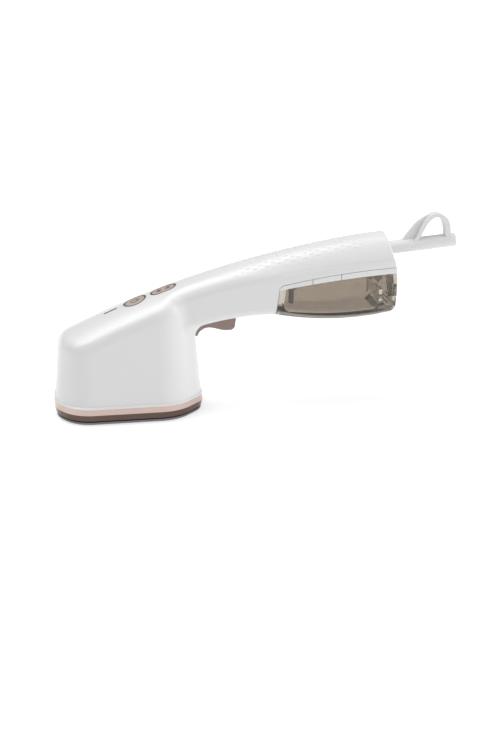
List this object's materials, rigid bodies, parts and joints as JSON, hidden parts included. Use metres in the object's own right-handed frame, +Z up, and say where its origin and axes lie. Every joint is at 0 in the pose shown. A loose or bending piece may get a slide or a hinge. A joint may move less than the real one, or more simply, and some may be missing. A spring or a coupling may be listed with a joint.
{
  "type": "garment steamer",
  "caption": "Handheld garment steamer: upright steam head with flat soleplate, arched grip with trigger, clip-on water tank below and a swivelling cord sleeve with hanging loop.",
  "frame": {"origin": "centre of the soleplate's underside, Z = 0 on the surface it stands on", "axes": "+X from the steam head to the end of the grip, +Z up out of the soleplate, Y across the body"},
  "size_m": [0.3021, 0.0704, 0.1394],
  "materials": {
    "white_abs": "satin gloss",
    "white_soft": "satin",
    "sole_metal": "coated",
    "black_seal": "matte",
    "rose_gold": "brushed anodised",
    "black_plastic": "matte",
    "cast_aluminium": "as cast",
    "element_steel": "satin",
    "screw_steel": "zinc plated",
    "hose_silicone": "translucent",
    "smoky_tank": "clear tinted",
    "trigger_brown": "satin",
    "button_rim": "satin",
    "button_cap": "satin",
    "lens_dark": "gloss",
    "board_green": "solder mask"
  },
  "bodies": {
    "housing": {"upper_cover": "white_abs", "lower_housing": "white_abs", "rear_cap": "white_abs", "soleplate": "sole_metal", "sole_gasket": "black_seal", "trim_ring": "rose_gold", "heat_ring": "black_plastic", "heater_block": "cast_aluminium", "heating_element": "element_steel", "chamber_gasket": "black_seal", "chamber_cover": "cast_aluminium", "thermostat": "element_steel", "thermal_fuse": "element_steel", "heat_shield": "black_plastic", "heater_screws": "screw_steel", "pump": "black_plastic", "outlet_hose": "hose_silicone", "inlet_hose": "hose_silicone", "tank_socket": "black_plastic", "trigger_pin": "screw_steel", "trigger_spring": "screw_steel", "inner_frame": "black_plastic", "microswitch": "black_plastic", "power_rim": "button_rim", "mode_rim": "button_rim", "indicator_lens": "lens_dark", "button_board": "board_green", "control_board": "board_green", "clamp_base": "white_abs", "clamp_bar": "white_abs", "clamp_screws": "screw_steel", "housing_screws": "screw_steel"},
    "trigger": {"trigger": "trigger_brown"},
    "power_button": {"power_button": "button_cap"},
    "mode_button": {"mode_button": "button_cap"},
    "tank": {"tank_body": "smoky_tank", "tank_lid": "white_abs", "suction_tube": "hose_silicone", "valve_disc": "black_seal", "valve_spring": "screw_steel", "release_spring_left": "screw_steel", "release_spring_right": "screw_steel"},
    "release_left": {"release_left": "white_abs"},
    "release_right": {"release_right": "white_abs"},
    "filler_flap": {"filler_flap": "black_seal"},
    "cord_boot": {"cord_boot": "white_soft"}
  },
  "joints": [
    {"name": "trigger_squeeze", "type": "hinge", "parent": "housing", "child": "trigger", "pos_m": [0.0505, 0, 0.0635], "axis": [0, -1, 0], "range_deg": [0, 8], "stiffness_Nm_per_rad": 1.2, "springref_deg": -1.15, "deforming": ["trigger_spring"]},
    {"name": "power_press", "type": "slide", "parent": "housing", "child": "power_button", "axis": [0.3586, 0, -0.9335], "range_m": [0, 0.0008], "stiffness_N_per_m": 1500, "springref_m": -0.0002},
    {"name": "mode_press", "type": "slide", "parent": "housing", "child": "mode_button", "axis": [0.3315, 0, -0.9434], "range_m": [0, 0.0008], "stiffness_N_per_m": 1500, "springref_m": -0.0002},
    {"name": "tank_pull", "type": "slide", "parent": "housing", "child": "tank", "axis": [0, 0, -1], "range_m": [0, 0.045]},
    {"name": "release_left_press", "type": "slide", "parent": "tank", "child": "release_left", "axis": [0, 1, 0], "range_m": [0, 0.0016], "stiffness_N_per_m": 800, "springref_m": -0.0003, "deforming": ["release_spring_left"]},
    {"name": "release_right_press", "type": "slide", "parent": "tank", "child": "release_right", "axis": [0, -1, 0], "range_m": [0, 0.0016], "stiffness_N_per_m": 800, "springref_m": -0.0003, "deforming": ["release_spring_right"]},
    {"name": "flap_open", "type": "hinge", "parent": "tank", "child": "filler_flap", "pos_m": [0.1997, 0, 0.091], "axis": [0, -1, 0], "range_deg": [0, 100]},
    {"name": "sleeve_swivel", "type": "hinge", "parent": "housing", "child": "cord_boot", "pos_m": [0.199, 0, 0.1146], "axis": [0.9965, 0, 0.0837], "continuous": true}
  ]
}
